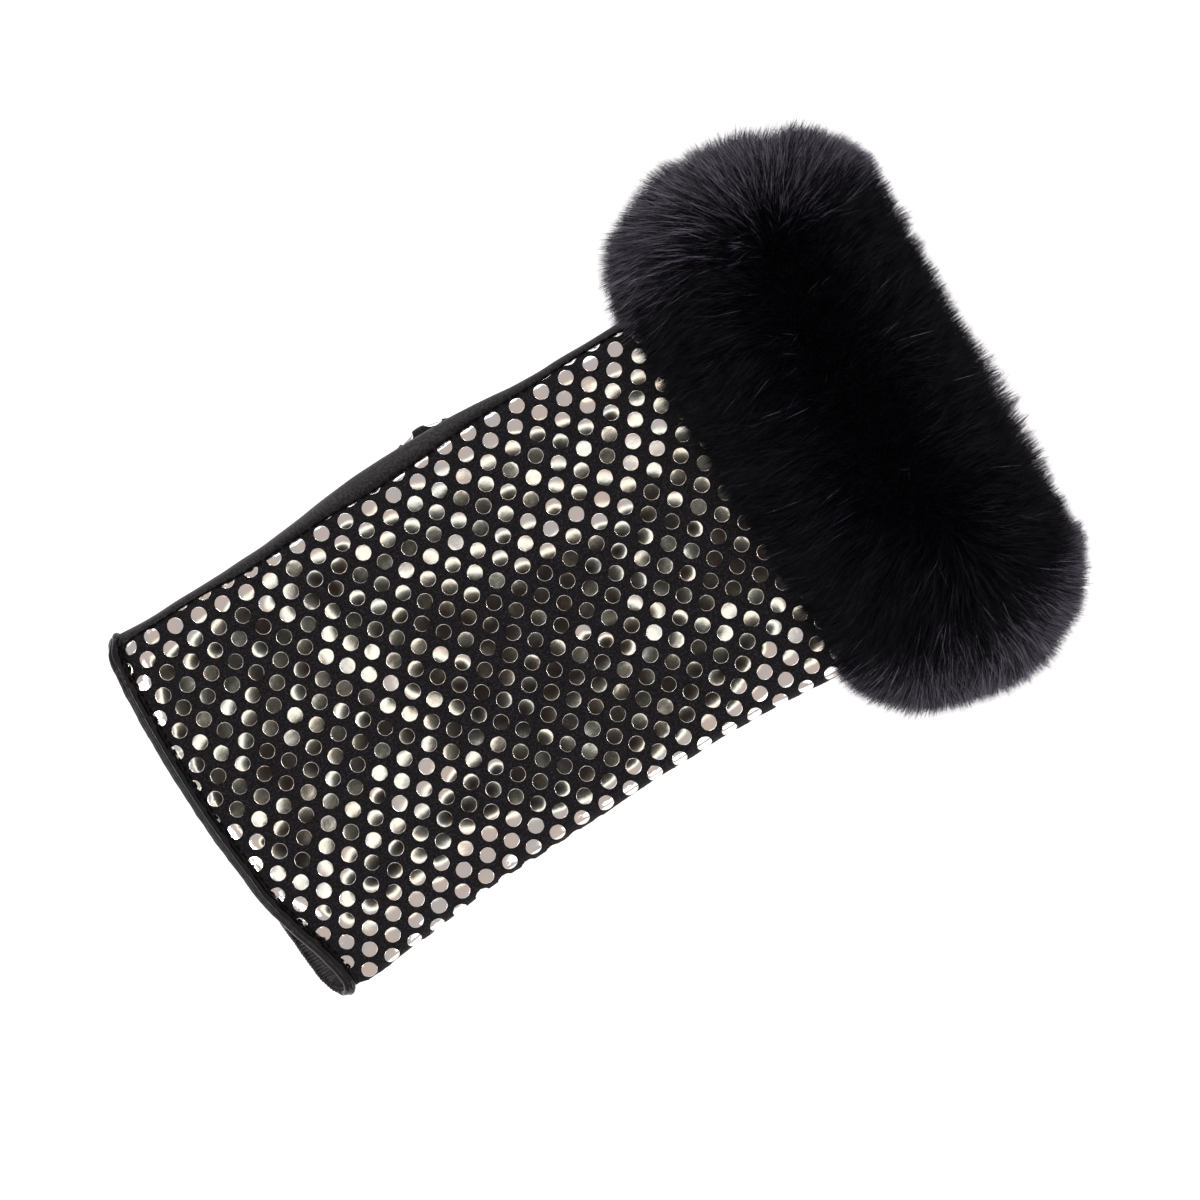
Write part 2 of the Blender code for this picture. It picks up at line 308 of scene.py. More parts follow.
def blend(table, i, j, a, b):
    """Value between four entries of a table."""
    low = table[i, j] * (1 - a) + table[i + 1, j] * a
    return low * (1 - b) + (table[i, j + 1] * (1 - a) + table[i + 1, j + 1] * a) * b


def smooth_noise(x, y, scale, seed):
    """Smooth random values from -1 to 1 over a plane, with bumps about this far apart."""
    size = 128
    grid = np.random.default_rng(seed).uniform(-1, 1, (size, size))
    u, v = np.asarray(x) / scale + 31.4, np.asarray(y) / scale + 57.9
    i, j = np.floor(u).astype(int), np.floor(v).astype(int)
    a, b = u - i, v - j
    a, b = a * a * (3 - 2 * a), b * b * (3 - 2 * b)
    low = grid[i % size, j % size] * (1 - a) + grid[(i + 1) % size, j % size] * a
    high = grid[i % size, (j + 1) % size] * (1 - a) + grid[(i + 1) % size, (j + 1) % size] * a
    return low * (1 - b) + high * b


# The dotted cloth, unrolled: X along the glove and W round it, 0 on the back above Y = 0


class Cloth:
    """Finds the place on the sleeve of points given on the unrolled cloth."""

    def __init__(self):
        self.x = np.linspace(hem_x - 0.004, wrist_x, 140)
        self.turns = np.linspace(-0.9, 4.3, 1500)
        points = body_point(self.x[:, None], self.turns[None, :], 0)
        steps = np.linalg.norm(np.diff(points, axis=1), axis=2)
        length = np.concatenate((np.zeros((len(self.x), 1)), np.cumsum(steps, axis=1)), axis=1)
        top = (self.turns > 0.6) & (self.turns < 2.5)
        zero = [np.interp(0.0, -points[i, top, 1], length[i, top]) for i in range(len(self.x))]
        self.round = np.array(zero)[:, None] - length
        self.w = np.linspace(self.round.max(), self.round.min(), 900)
        self.turn_table = np.array([np.interp(-self.w, -row, self.turns) for row in self.round])

    def lookup(self, table, across, x, value):
        """Value of a table at X and another key, straight between its entries."""
        u = np.clip(np.interp(x, self.x, np.arange(len(self.x))), 0, len(self.x) - 1.001)
        v = (value - across[0]) / (across[1] - across[0])
        v = np.clip(v, 0, len(across) - 1.001)
        i, j = u.astype(int), v.astype(int)
        return blend(table, i, j, u - i, v - j)

    def turn(self, x, w):
        return self.lookup(self.turn_table, self.w, x, w)

    def w_of(self, x, turn):
        return self.lookup(self.round, self.turns, x, turn)


cloth = Cloth()


def thumb_seam(x, gap):
    """W of the seam on the thumb side, with its gap to one side."""
    return cloth.w_of(x, turn_from_edge(x, thumb_strip * body_value(x, "strip") + gap))


def pinky_seam(x, gap):
    """W of the seam below the little-finger side."""
    return cloth.w_of(x, math.pi + turn_from_edge(x, pinky_wrap + gap))


def hem_of(x, w):
    """X of the hem on the line round the glove that passes through X, W."""
    return hem_at(cloth.turn(x, w))


def fold_height(x, w):
    """Height of the soft folds over the plain sleeve, none at its side edges and at the hem."""
    height = 0.0
    for middle_x, middle_w, angle, length, width, size in FOLDS:
        dx, dw = x - middle_x * MM, w - middle_w * MM
        cosine, sine = math.cos(math.radians(angle)), math.sin(math.radians(angle))
        along = (dx * cosine + dw * sine) / (length * MM)
        across = (dw * cosine - dx * sine) / (width * MM)
        height = height + size * MM * np.exp(-(along**2 + across**2) / 2)
    turn = cloth.turn(x, w)
    sides = fade(turn, 0.03, 0.35) * fade(math.pi - turn, 0.03, 0.35)
    return height * sides * fade(x - hem_at(turn), 0.0, 6 * MM)


def suede_height(x, w):
    """How the suede swells and dips over the plain sleeve."""
    height = fold_height(x, w) - 0.25 * MM
    height += 0.20 * MM * smooth_noise(x + 0.3 * w, w, 19 * MM, 3)
    height += 0.13 * MM * smooth_noise(x, w + 0.4 * x, 8 * MM, 5)
    height += 0.04 * MM * smooth_noise(x, w, 4 * MM, 8)
    from_hem = x - hem_of(x, w)
    pucker = np.exp(-np.clip(from_hem, 0, 1) / (4.5 * MM))
    height += 0.34 * MM * pucker * smooth_noise(w, x * 0.35, 4.6 * MM, 12)
    height -= 0.60 * MM * np.exp(-((from_hem / (1.8 * MM)) ** 2))
    from_seam = thumb_seam(x, 0) - w
    height -= 0.50 * MM * np.exp(-((from_seam / (0.7 * MM)) ** 2))
    return height


def cloth_point(x, w, height):
    """Points on the suede's outer face, raised by a height."""
    x, w, height = np.broadcast_arrays(x, w, height)
    turn = cloth.turn(x, w)
    raised = suede_height(x, w) + height
    return body_point(x, turn, 0) + outward(x, turn) * raised[..., None]


# Mesh helpers


def new_object(name, points, faces, material):
    """Object from an array of points and a list or array of faces."""
    mesh = bpy.data.meshes.new(name)
    points = np.ascontiguousarray(points, dtype=np.float32).reshape(-1, 3)
    faces = [np.asarray(part, dtype=np.int32) for part in faces if len(part)]
    sizes = np.concatenate([np.full(len(part), part.shape[1], dtype=np.int32) for part in faces])
    corners = np.concatenate([part.reshape(-1) for part in faces])
    mesh.vertices.add(len(points))
    mesh.vertices.foreach_set("co", points.reshape(-1))
    mesh.loops.add(len(corners))
    mesh.loops.foreach_set("vertex_index", corners)
    mesh.polygons.add(len(sizes))
    starts = np.concatenate(([0], np.cumsum(sizes)[:-1])).astype(np.int32)
    mesh.polygons.foreach_set("loop_start", starts)
    mesh.polygons.foreach_set("loop_total", sizes)
    mesh.polygons.foreach_set("use_smooth", np.full(len(sizes), True))
    mesh.update(calc_edges=True)
    mesh.validate()
    mesh.materials.append(material)
    item = bpy.data.objects.new(name, mesh)
    bpy.context.scene.collection.objects.link(item)
    return item


def grid_faces(rows, columns, wrap_rows=False, wrap_columns=False, start=0):
    """Four-cornered faces of a grid of vertices, numbered row by row."""
    i = np.arange(rows if wrap_rows else rows - 1)
    j = np.arange(columns if wrap_columns else columns - 1)
    i, j = np.meshgrid(i, j, indexing="ij")
    row, row_below, right = i * columns, (i + 1) % rows * columns, (j + 1) % columns
    faces = np.stack((row + j, row + right, row_below + right, row_below + j), -1)
    return faces.reshape(-1, 4) + start


def sheet_object(name, outer, inner, material):
    """Sheet with walls between an outer and an inner grid of points."""
    rows, columns = outer.shape[:2]
    count = rows * columns
    faces = [grid_faces(rows, columns), grid_faces(rows, columns, start=count)[:, ::-1]]
    index = np.arange(count).reshape(rows, columns)
    edges = (index[0], True), (index[-1], False), (index[:, 0], False), (index[:, -1], True)
    for line, flip in edges:
        wall = np.stack((line[:-1], line[1:], line[1:] + count, line[:-1] + count), -1)
        faces.append(wall if flip else wall[:, ::-1])
    points = np.concatenate((outer.reshape(-1, 3), inner.reshape(-1, 3)))
    return new_object(name, points, [face[:, ::-1] for face in faces], material)


def finish(item, slot, *nodes):
    """Body and replaced solids of a piece; slot is not used."""
    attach(item, "root")
    if nodes:
        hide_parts(*nodes)


# Materials


def set_stops(ramp, stops):
    """Positions and colours of a ramp, where a single number is a grey."""
    while len(ramp.elements) < len(stops):
        ramp.elements.new(0.5)
    for element, (position, colour) in zip(ramp.elements, stops):
        element.position = position
        element.color = (*colour, 1) if len(colour) == 3 else (colour[0],) * 3 + (1,)


class Shader:
    """Small helper that adds nodes to one material."""

    def __init__(self, name):
        self.material = bpy.data.materials.new(name)
        self.material.use_nodes = True
        self.tree = self.material.node_tree
        self.surface = self.tree.nodes["Principled BSDF"]
        self.place = self.add("ShaderNodeTexCoord").outputs["Object"]

    def add(self, kind):
        return self.tree.nodes.new(kind)

    def join(self, source, target):
        self.tree.links.new(source, target)

    def feed(self, source, name):
        """Join a source to an input of the surface."""
        self.join(source, self.surface.inputs[name])

    def set(self, **values):
        names = {
            "colour": "Base Color",
            "rough": "Roughness",
            "metal": "Metallic",
            "specular": "Specular IOR Level",
            "sheen": "Sheen Weight",
            "sheen_rough": "Sheen Roughness",
            "sheen_tint": "Sheen Tint",
        }
        for key, value in values.items():
            self.surface.inputs[names[key]].default_value = value

    def noise(self, scale, detail, rough):
        node = self.add("ShaderNodeTexNoise")
        node.inputs["Scale"].default_value = scale
        node.inputs["Detail"].default_value = detail
        node.inputs["Roughness"].default_value = rough
        self.join(self.place, node.inputs["Vector"])
        return node.outputs["Fac"]

    def cells(self, scale):
        node = self.add("ShaderNodeTexVoronoi")
        node.inputs["Scale"].default_value = scale
        self.join(self.place, node.inputs["Vector"])
        return node.outputs["Distance"]

    def ramp(self, source, stops):
        node = self.add("ShaderNodeValToRGB")
        set_stops(node.color_ramp, stops)
        self.join(source, node.inputs["Fac"])
        return node.outputs["Color"]

    def bump(self, source, strength, distance, before=None):
        node = self.add("ShaderNodeBump")
        node.inputs["Strength"].default_value = strength
        node.inputs["Distance"].default_value = distance
        self.join(source, node.inputs["Height"])
        if before:
            self.join(before, node.inputs["Normal"])
        return node.outputs["Normal"]


def suede_material():
    """Black nap with finer, paler fuzz."""
    shader = Shader("suede")
    shader.set(rough=0.92, specular=0.15, sheen=0.06, sheen_rough=0.5, sheen_tint=(0.60, 0.56, 0.64, 1))
    fuzz = shader.noise(2300, 4, 0.7)
    cloud = shader.noise(180, 3, 0.6)
    nap = (
        (0.36, (0.0030, 0.0028, 0.0033)),
        (0.52, (0.0100, 0.0095, 0.0110)),
        (0.70, (0.042, 0.040, 0.045)),
    )
    colour = shader.ramp(fuzz, nap)
    shader.feed(colour, "Base Color")
    normal = shader.bump(fuzz, 0.8, 0.00020)
    normal = shader.bump(cloud, 0.3, 0.0004, normal)
    shader.feed(normal, "Normal")
    return shader.material


def foil_material():
    """Mirror foil, a little mottled."""
    shader = Shader("foil")
    shader.set(metal=1.0, specular=0.5)
    mottle = shader.noise(700, 3, 0.5)
    fine = shader.noise(3600, 2, 0.5)
    tint = shader.noise(170, 1, 0.4)
    colour = shader.ramp(tint, ((0.36, (0.74, 0.76, 0.74)), (0.64, (0.85, 0.78, 0.70))))
    shader.feed(colour, "Base Color")
    rough = shader.ramp(mottle, ((0.3, (0.07,)), (0.75, (0.13,))))
    shader.feed(rough, "Roughness")
    normal = shader.bump(mottle, 0.09, 0.00010)
    normal = shader.bump(fine, 0.14, 0.00002, normal)
    shader.feed(normal, "Normal")
    return shader.material


def leather_material():
    """Smooth black leather with pale pores."""
    shader = Shader("leather")
    shader.set(specular=0.26)
    grain = shader.cells(1900)
    pores = shader.noise(1700, 3, 0.7)
    cloud = shader.noise(90, 3, 0.5)
    colour = shader.ramp(pores, ((0.42, (0.0020, 0.0019, 0.0022)), (0.60, (0.0300, 0.0290, 0.0320))))
    shader.feed(colour, "Base Color")
    rough = shader.ramp(cloud, ((0.3, (0.46,)), (0.7, (0.58,))))
    shader.feed(rough, "Roughness")
    normal = shader.bump(grain, 0.25, 0.00008)
    normal = shader.bump(pores, 0.55, 0.00012, normal)
    normal = shader.bump(cloud, 0.3, 0.0005, normal)
    shader.feed(normal, "Normal")
    return shader.material


def binding_material():
    """Glossier leather, creased over the roll."""
    shader = Shader("binding_leather")
    shader.set(specular=0.32)
    grain = shader.cells(1700)
    crease = shader.noise(420, 4, 0.6)
    colour = shader.ramp(crease, ((0.3, (0.002, 0.002, 0.0023)), (0.7, (0.006, 0.0058, 0.0063))))
    shader.feed(colour, "Base Color")
    rough = shader.ramp(crease, ((0.3, (0.12,)), (0.7, (0.20,))))
    shader.feed(rough, "Roughness")
    normal = shader.bump(grain, 0.25, 0.00008)
    normal = shader.bump(crease, 0.45, 0.00035, normal)
    shader.feed(normal, "Normal")
    return shader.material


def painted_lit_facing_material():
    """Inner side of the leather, painted grey: far paler than the outer leather as painted light, so
    that the deep mouth, where little light reaches, looks lit.
    """
    shader = Shader("facing_leather_painted_light")
    shader.set(rough=0.42, specular=0.5)
    crease = shader.noise(900, 3, 0.6)
    # Painted light: these greys are far paler than the leather outside, standing in for light inside the
    # finger opening.
    colour = shader.ramp(crease, ((0.3, (0.032, 0.031, 0.033)), (0.7, (0.165, 0.159, 0.165))))
    shader.feed(colour, "Base Color")
    shader.feed(shader.bump(crease, 0.4, 0.0002), "Normal")
    return shader.material


def thread_and_seam_shadow_material():
    """Dull black thread, its near-black partly painted shadow where it lines the thumb seam."""
    shader = Shader("thread")
    shader.set(rough=0.7, specular=0.05)
    twist = shader.noise(3000, 2, 0.5)
    colour = shader.ramp(twist, ((0.3, (0.0008, 0.0008, 0.0010)), (0.7, (0.0025, 0.0024, 0.0028))))
    shader.feed(colour, "Base Color")
    shader.feed(shader.bump(twist, 0.5, 0.0001), "Normal")
    return shader.material


def fur_material(name, dark, light, rough, gloss):
    """Fur in two tones that change from lock to lock."""
    shader = Shader(name)
    shader.set(rough=rough, specular=gloss)
    lock = shader.noise(260, 3, 0.6)
    colour = shader.ramp(lock, ((0.35, dark), (0.70, light)))
    shader.feed(colour, "Base Color")
    return shader.material


# Sheets of the glove


def make_back(material):
    """Dotted suede over the back and round the little-finger fold to its seam below."""
    rows, columns = 190, 136
    share, across = np.linspace(0, 1, rows)[:, None], np.linspace(0, 1, columns)[None, :]
    x = hem_x + share * body_length + 0 * across
    for _ in range(3):
        w = thumb_seam(x, seam_gap / 2) * (1 - across) + pinky_seam(x, -seam_gap / 2) * across
        start = hem_of(x, w) - hem_tuck
        x = start + share * (wrist_x - start)
    outer = cloth_point(x, w, 0.0)
    turn = cloth.turn(x, w)
    inner = body_point(x, turn, suede_wall) + outward(x, turn) * fold_height(x, w)[..., None]
    item = sheet_object("back_suede", outer, inner, material)
    finish(item, "suede_foil", "back_panel")
    return item


def palm_height(x, turn, from_seam):
    """Soft creases of the leather, and its roll into the seam on the back."""
    y = body_point(x, turn, 0)[..., 1]
    height = 0.25 * MM * smooth_noise(x, y, 17 * MM, 21) + 0.10 * MM * smooth_noise(x, y, 6 * MM, 22)
    height -= 0.9 * MM * np.exp(-((from_seam / (1.0 * MM)) ** 2))
    height += 0.16 * MM * np.exp(-from_seam / (3 * MM)) * smooth_noise(x, y * 0.4, 7 * MM, 23)
    return height


def make_palm(material):
    """Leather round the thumb-side fold and across below, from seam to seam."""
    rows, columns = 140, 104
    share, across = np.linspace(0, 1, rows)[:, None], np.linspace(0, 1, columns)[None, :] ** 1.3
    x = hem_x + share * body_length + 0 * across
    for _ in range(3):
        seam = turn_from_edge(x, thumb_strip * body_value(x, "strip") - seam_gap / 2)
        end = math.pi + turn_from_edge(x, pinky_wrap + seam_gap / 2) - 2 * math.pi
        turn = seam * (1 - across) + end * across
        start = hem_at(turn) - hem_tuck
        x = start + share * (wrist_x - start)
    edge_y = body_point(x, seam, 0)[..., 1]
    from_seam = np.where(turn > 0, np.abs(body_point(x, turn, 0)[..., 1] - edge_y) + 0.25 * MM, 9 * MM)
    height = palm_height(x, turn, from_seam) * fade(x, hem_x, hem_x + 6 * MM)
    height = height * (1 - fade(x, 0.030, 0.040))
    folds = fold_height(x, cloth.w_of(x, turn))
    outer = body_point(x, turn, 0) + outward(x, turn) * (height + folds)[..., None]
    inner = body_point(x, turn, leather_wall) + outward(x, turn) * folds[..., None]
    item = sheet_object("palm_leather", outer, inner, material)
    finish(item, "leather", "palm_panel")
    return item


# Foil dots


def bent(x, w, table):
    """Shift of a dot from its place on an even grid."""
    u, v = np.clip(x / 0.100, -1.08, 0.6), np.clip(w / 0.050, -1.0, 0.95)
    return sum(size * MM * u**i * v**j for i, j, size in table)


def even_grid(reach):
    """Places of the even staggered grid, up to this many steps each way."""
    steps = np.arange(-reach, reach + 1)
    i, j = (way.reshape(-1, 1) for way in np.meshgrid(steps, steps, indexing="ij"))
    return i * np.array(DOT_STEP_A) + j * np.array(DOT_STEP_B)


def dot_centres(x_low, x_high):
    """Centres of the staggered dots on the unrolled cloth."""
    even = np.array(DOT_START) + even_grid(60)
    x, w = even[:, 0], even[:, 1]
    for _ in range(4):
        x, w = even[:, 0] + bent(x, w, BEND_X), even[:, 1] + bent(x, w, BEND_W)
    keep = (x > x_low) & (x < x_high)
    return x[keep], w[keep]


def dot_mesh(x, w, place, seed):
    """Points and faces of foil dots with soft edges, laid on a surface by its place function."""
    sides = 24
    shares = np.array((0.0, 0.55, 0.94, 0.98, 1.0))
    heights = np.array((1.0, 0.98, 0.94, 0.86, 0.45)) * dot_height
    chance = np.random.default_rng(seed)
    count = len(x)
    angle = 2 * math.pi * np.arange(sides) / sides
    wobble = np.ones((count, 4, sides))
    wobble[:, 1:] += chance.normal(0, 0.011, (count, 1, sides))
    radius = dot_radius * chance.normal(1, 0.012, (count, 1, 1)) * shares[None, 1:, None] * wobble
    dx = radius * np.cos(angle)
    dw = radius * np.sin(angle)
    tilt = chance.normal(0, 0.030, (count, 2))
    crown = chance.normal(0.035, 0.040, (count, 1, 1)) * MM
    height = heights[None, 1:, None] + dx * tilt[:, :1, None] + dw * tilt[:, 1:, None]
    height = height - crown * (shares[1:] ** 2)[None, :, None]
    height[:, 2] += np.abs(chance.normal(0, 0.004 * MM, (count, sides)))
    raised_side = chance.uniform(0, 2 * math.pi, (count, 1))
    height[:, 3] += 0.45 * dot_height * np.cos(angle - raised_side)
    lift = np.maximum(0.015 * MM - height.min(axis=(1, 2)), 0)
    height += lift[:, None, None]
    ring_x, ring_w = x[:, None, None] + dx, w[:, None, None] + dw
    rings = place(ring_x, ring_w, height).reshape(count, -1, 3)
    centre = place(x, w, heights[0] + lift).reshape(count, 1, 3)
    points = np.concatenate((centre, rings), axis=1)
    size = points.shape[1]
    side = np.arange(sides)
    after = (side + 1) % sides
    fan = np.stack((np.zeros(sides, int), 1 + side, 1 + after), -1)
    bands = []
    for ring in range(len(shares) - 2):
        low, high = 1 + ring * sides, 1 + (ring + 1) * sides
        bands.append(np.stack((low + side, high + side, high + after, low + after), -1))
    bands = np.concatenate(bands)
    start = (np.arange(count) * size)[:, None, None]
    fans, bands = (fan[None] + start).reshape(-1, 3), (bands[None] + start).reshape(-1, 4)
    return points.reshape(-1, 3), fans, bands


def place_on_back(x, w, height):
    """Dots are cut off at the seams, crumpled near the hem, and pass under the binding."""
    high, low = thumb_seam(x, 0.35 * MM), pinky_seam(x, -0.35 * MM)
    w = np.clip(w, low, high)
    hem = hem_of(x, w)
    x = np.maximum(x, hem + 0.1 * MM)
    near_hem = np.exp(-(((x - hem) / (2.6 * MM)) ** 2))
    crumple = 0.16 * MM * near_hem * np.abs(smooth_noise(x, w, 0.9 * MM, 15))
    return cloth_point(x, w, height + crumple + 0.03 * MM)


def make_dots(material):
    """Dots of the back, some of them cut by its edge."""
    x, w = dot_centres(hem_x - 1.5 * MM, dots_end)
    high, low, hem = thumb_seam(x, 0), pinky_seam(x, 0), hem_of(x, w)
    most_cut = 0.8 * dot_radius
    keep = (w < high + most_cut) & (w > low - most_cut) & (x > hem - most_cut)
    x, w = x[keep], w[keep]
    points, fans, bands = dot_mesh(x, w, place_on_back, 41)
    item = new_object("back_dots", points, (fans, bands), material)
    finish(item, "suede_foil")
    return item


# Binding


def bead_rings(count):
    """Turns, places and outward directions of the finger hem's rolled edge."""
    turns = np.linspace(0, 2 * math.pi, count, endpoint=False)
    middle_x = hem_at(turns) - binding_gap - binding_width / 2
    points = body_point(np.maximum(middle_x, hem_x), turns, leather_wall / 2)
    points[:, 0] = middle_x
    return turns, points, outward(np.full(count, hem_x), turns)


def oval_reach(angle, centre, wide, thick):
    """Distance from the origin to an oval's edge, in each direction."""
    u, v = np.cos(angle) / wide, np.sin(angle) / thick
    c = centre / wide
    a = u * u + v * v
    return (u * c + np.sqrt((u * c) ** 2 - a * (c * c - 1))) / a


def make_binding(material):
    """Rolled leather edge in two ridges, creased across and gathered at the little-finger corner."""
    count, sides = 760, 32
    turns, middle, out = bead_rings(count)
    angle = 2 * math.pi * np.arange(sides) / sides
    main_ridge = oval_reach(angle, 0.32 * MM, 1.10 * MM, binding_thickness / 2)
    edge_ridge = oval_reach(angle, -0.78 * MM, 0.84 * MM, 0.95 * MM)
    profile = np.maximum(main_ridge, edge_ridge)
    along = arc_lengths(middle)
    crease = 1 + 0.05 * smooth_noise(along, 0 * along, 2.6 * MM, 51)
    crease += 0.03 * smooth_noise(along, 0 * along, 1.1 * MM, 52)
    gathered = fade(np.degrees(turns), 184, 192) * (1 - fade(np.degrees(turns), 232, 262))
    crease += gathered * (0.05 * np.sin(along * 2 * math.pi / gather_step) - 0.34)
    wide = profile * np.cos(angle) * crease[:, None]
    thick = profile * np.sin(angle) * crease[:, None]
    points = middle[:, None, :] + thick[..., None] * out[:, None, :]
    points[..., 0] += wide
    points[..., 2] = np.maximum(points[..., 2], 0.0)
    faces = grid_faces(count, sides, True, True)
    item = new_object("binding_bead", points, (faces,), material)
    finish(item, "leather", "finger_binding")
    return item


def make_facing(material):
    """Gathered leather turned in behind the lower edge of the finger opening."""
    rows, columns = 7, 620
    turns = np.radians(np.linspace(184, 300, columns))
    depth = np.linspace(-2.4, 6.0, rows)[:, None] * MM
    x = hem_at(turns)[None, :] + depth
    flat = body_point(np.maximum(x, hem_x), turns[None, :], leather_wall)
    along = arc_lengths(flat[0])
    uneven = 0.8 * smooth_noise(along, 0 * along, 3 * MM, 55)
    ripple = 0.20 * MM * np.sin(along * 2 * math.pi / gather_step + uneven)
    away = outward(np.full(columns, hem_x), turns)
    faces_out, faces_in = (flat - away * (inset + ripple[:, None]) for inset in (0.10 * MM, 0.45 * MM))
    for points in (faces_out, faces_in):
        points[..., 0] = x
    item = sheet_object("hem_facing", faces_out, faces_in, material)
    finish(item, "leather")
    return item


def stitches_object(name, points, ways, ups, length, thickness, material):
    """Row of small thread stitches, each a rounded bar."""
    sides, rings = 8, 5
    ways = ways / np.linalg.norm(ways, axis=1)[:, None]
    angle = 2 * math.pi * np.arange(sides) / sides
    share = np.linspace(-1, 1, rings)
    round_end = np.sqrt(np.maximum(1 - share**4, 0.04))
    across = np.cross(ways, ups)
    ring_along = share[None, :, None, None] * ways[:, None, None, :] * length / 2
    ring_side = np.cos(angle)[None, None, :, None] * across[:, None, None, :]
    ring_up = np.sin(angle)[None, None, :, None] * ups[:, None, None, :]
    rings_out = (ring_side + ring_up) * (round_end * thickness / 2)[None, :, None, None]
    bars = points[:, None, None, :] + ring_along + rings_out
    first = np.arange(len(points)) * rings * sides
    faces = [grid_faces(rings, sides, wrap_columns=True, start=start) for start in first]
    item = new_object(name, bars, (np.concatenate(faces)[:, ::-1],), material)
    finish(item, "leather")
    return item


def make_thumb_stitches_and_shadow(material):
    """Thread in the seam between the leather and the suede on the thumb side, thick and almost end to
    end, so that it also draws the painted shadow line of the seam's gap.
    """
    x = np.arange(hem_x + 6 * MM, stitches_end, 2.7 * MM)
    w = thumb_seam(x, 0.1 * MM)
    # Painted shadow: raised, thick bars of near-black thread stand in for the dark gap of the seam.
    points = cloth_point(x, w, 0.50 * MM)
    ways = cloth_point(x + 0.5 * MM, thumb_seam(x + 0.5 * MM, 0.1 * MM), 0.50 * MM) - points
    ups = outward(x, cloth.turn(x, w))
    return stitches_object("thumb_seam_thread_and_shadow", points, ways, ups, 2.5 * MM, 0.50 * MM, material)


def make_hem_stitches(material):
    """Thread that holds the binding, beside it on the back and the palm."""
    fine = np.linspace(0, 2 * math.pi, 4000)
    path = body_point(hem_at(fine) + 0.30 * MM, fine, 0.0)
    along = arc_lengths(path)
    turns = np.interp(np.arange(1 * MM, along[-1], 2.3 * MM), along, fine)
    turns = turns[np.abs(np.degrees(turns) - 185) > 25]
    sunk = (0.05 + 0.50 * fade(np.sin(turns), -0.1, 0.2)) * MM
    points = body_point(hem_at(turns) + 0.30 * MM, turns, sunk)
    ways = body_point(hem_at(turns + 0.003) + 0.30 * MM, turns + 0.003, sunk) - points
    ups = outward(points[:, 0], turns)
    return stitches_object("binding_thread", points, ways, ups, 1.6 * MM, 0.40 * MM, material)


# Thumb stall


def stall_point(along, turn, inset):
    """Points of the flattened thumb tube, inset from its outer face."""
    along, turn = np.broadcast_arrays(np.asarray(along, float), np.asarray(turn, float))
    base = np.clip(np.minimum(along, 0.0) / (stall_base - inset), -1, 0)
    half_width = (stall_width / 2 - inset) * np.sqrt(1 - base**2)
    x, y = stall_place(along, half_width * np.cos(turn))
    room = palm_underside(x, y) - seam_gap - stall_floor_gap
    rise = (1 - base**4) ** 0.25 * roundness(turn, stall_roundness)
    z = stall_floor_gap + room / 2 + (room / 2 - inset) * rise
    return np.stack((x, y, z), -1)


def stall_places(inset):
    """Distances of the stall's rings: close together round its base, even along its tube."""
    base = (inset - stall_base) * np.cos(np.radians(np.linspace(6, 84, 12)))
    return np.concatenate((base, np.linspace(0, stall_reach, 30)))


def make_stall(material):
    """Flat thumb tube, closed at its base and open to the fingers."""
    turn = 2 * math.pi * np.arange(72) / 72
    grids = [stall_point(stall_places(inset)[:, None], turn, inset) for inset in (0.0, stall_wall)]
    rows, columns = grids[0].shape[:2]
    count = rows * columns
    outer = grid_faces(rows, columns, wrap_columns=True)
    inner = grid_faces(rows, columns, wrap_columns=True, start=count)[:, ::-1]
    first = np.arange(columns)
    second, last = np.roll(first, -1), (rows - 1) * columns + first
    lip = np.stack((last, np.roll(last, -1), np.roll(last, -1) + count, last + count), -1)
    tips = np.stack([grid[0].mean(axis=0) for grid in grids])
    points = np.concatenate((grids[0].reshape(-1, 3), grids[1].reshape(-1, 3), tips))
    outer_tip = np.full(columns, 2 * count)
    cap = np.stack((outer_tip, second, first), -1)
    inner_cap = np.stack((outer_tip + 1, first + count, second + count), -1)
    faces = (outer[:, ::-1], inner[:, ::-1], lip[:, ::-1], cap[:, ::-1], inner_cap[:, ::-1])
    item = new_object("stall_suede", points, faces, material)
    finish(item, "suede_foil", "thumb_stall")
    return item


def place_on_stall(along, round_way, height):
    """Points on the stall: the second value runs round it from its thumb-side fold."""
    turns = np.linspace(-math.pi, math.pi, 721)
    across, up = np.cos(turns) * stall_width / 2, roundness(turns, stall_roundness) * stall_height / 2
    oval = np.stack((across, up), -1)
    way = arc_lengths(oval)
    turn = np.interp(round_way, way - way[360], turns)
    shape = [stall_point(along + da, turn + dt, 0.0) for da, dt in ((0, 0), (1e-4, 0), (0, 1e-3))]
    normal = np.cross(shape[1] - shape[0], shape[2] - shape[0])
    normal /= np.maximum(np.linalg.norm(normal, axis=-1), 1e-12)[..., None]
    return shape[0] + normal * (np.asarray(height) + 0.06 * MM)[..., None]


def make_stall_dots(material):
    """Dots on both sides of the stall, on the plain grid."""
    even = even_grid(40)
    along, way = even[:, 0] - 1.1 * MM, even[:, 1] + 1.5 * MM
    keep = (along > -0.80 * stall_base) & (along < stall_reach - 2.2 * MM) & (np.abs(way) < 0.040)
    points, fans, bands = dot_mesh(along[keep], way[keep], place_on_stall, 43)
    item = new_object("stall_dots", points, (fans, bands), material)
    finish(item, "suede_foil")
    return item


# Fur


def dome_turns(count, spread):
    """Turns evenly spaced on a curve outside the wrist."""
    fine = np.linspace(0, 2 * math.pi, 1201)
    points = grown_point(np.full(fine.shape, wrist_x), fine, np.full(fine.shape, spread))
    travelled = arc_lengths(points)
    return np.interp(np.arange(count) / count * travelled[-1], travelled, fine)


